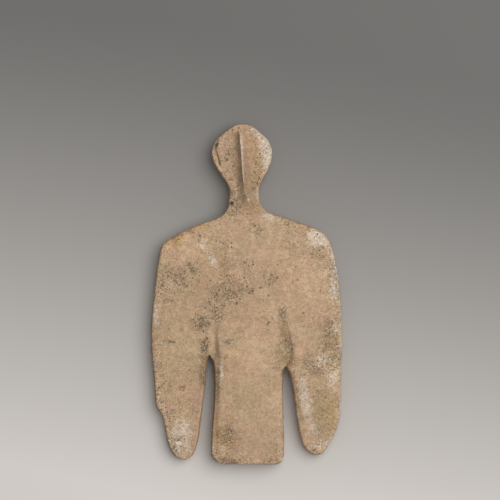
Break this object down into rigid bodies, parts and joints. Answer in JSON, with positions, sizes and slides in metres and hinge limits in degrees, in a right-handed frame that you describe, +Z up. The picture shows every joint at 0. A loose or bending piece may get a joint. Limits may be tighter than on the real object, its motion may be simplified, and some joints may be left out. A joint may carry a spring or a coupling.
{
  "type": "stone idol",
  "caption": "Flat carved stone idol with a paddle-shaped head, a long nose ridge, a thin neck, sloping shoulders and hanging arms cut free of a plain trunk, made to be laid down or held.",
  "frame": {"origin": "centre of the bounding box in plan, on the surface that the idol lies on", "axes": "+Y from the foot to the crown, +X to the right of someone looking down on the face, +Z up out of the face"},
  "size_m": [0.135, 0.24, 0.0184],
  "materials": {
    "stone": "dry, fine-grained and weathered, with a worn matt skin"
  },
  "bodies": {
    "root": {"idol": "stone"}
  },
  "joints": []
}
